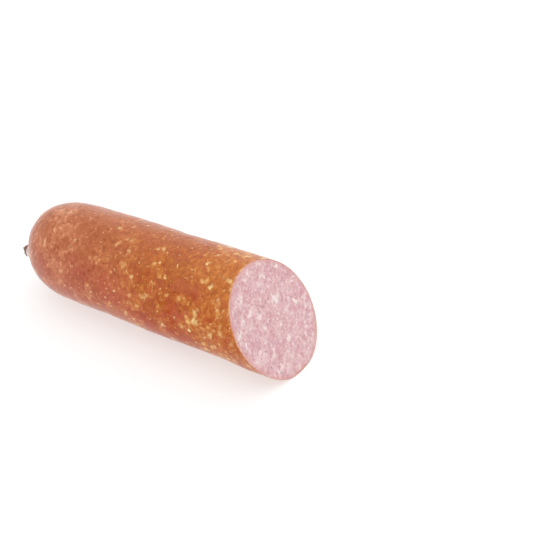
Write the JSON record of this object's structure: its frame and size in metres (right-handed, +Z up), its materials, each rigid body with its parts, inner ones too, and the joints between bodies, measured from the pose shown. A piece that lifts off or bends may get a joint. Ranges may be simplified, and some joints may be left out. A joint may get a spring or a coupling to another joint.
{
  "type": "cured sausage half",
  "caption": "Half of a thick cured sausage in a thin casing, one end tied off with a wire clip, the other cut on a slant to show fine pink meat.",
  "frame": {"origin": "on the surface that the sausage rests on, under the middle of its bounding box", "axes": "+X along the sausage from the tied end to the cut end, -Y the front, +Z up"},
  "size_m": [0.1914, 0.06, 0.0594],
  "materials": {
    "casing": "thin clear-brown skin with a soft gloss over mottled orange-brown meat and pale fat flecks",
    "meat": "moist cut face of fine pink meat with small white and cream fat flecks",
    "clip": "smooth drawn wire"
  },
  "bodies": {
    "root": {"casing": "casing", "meat": "meat", "clip": "clip"}
  },
  "joints": []
}
